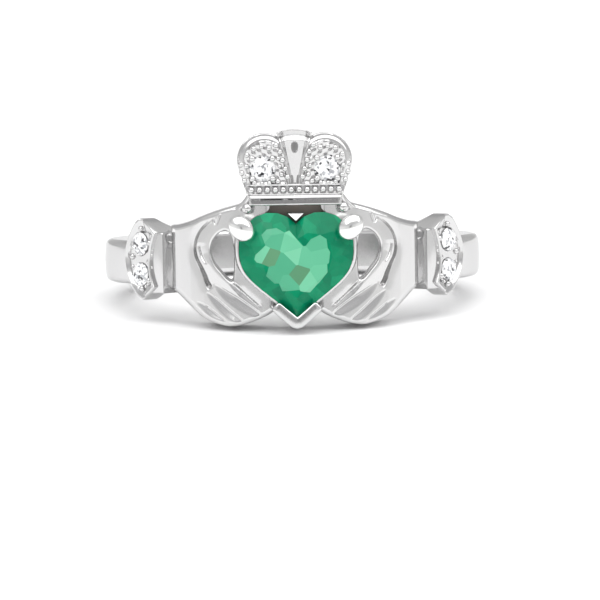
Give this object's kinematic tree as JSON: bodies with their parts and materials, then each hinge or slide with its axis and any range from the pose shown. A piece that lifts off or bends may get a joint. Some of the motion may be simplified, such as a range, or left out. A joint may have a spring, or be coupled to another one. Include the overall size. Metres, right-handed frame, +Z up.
{
  "type": "claddagh ring",
  "caption": "Claddagh finger ring: two hands hold a green heart-shaped stone under a crown, with round white stones in the crown and in the cuffs of a plain white metal band.",
  "frame": {"origin": "centre of the finger hole, midway across the band", "axes": "ring lying on its side at rest, as on a table: +Z up, -Y from the finger hole towards the heart, +X to the right seen from the front; the finger hole's axis leans back from +Z by the ring's resting lean"},
  "size_m": [0.0208, 0.0227, 0.0108],
  "materials": {
    "white_gold": "bright polished white gold",
    "emerald": "polished cut emerald",
    "diamond": "polished round brilliant"
  },
  "bodies": {
    "root": {"ring_body": "white_gold", "heart_stone": "emerald", "crown_diamond_left": "diamond", "crown_diamond_right": "diamond", "cuff_diamond_left_upper": "diamond", "cuff_diamond_left_lower": "diamond", "cuff_diamond_right_upper": "diamond", "cuff_diamond_right_lower": "diamond"}
  },
  "joints": []
}
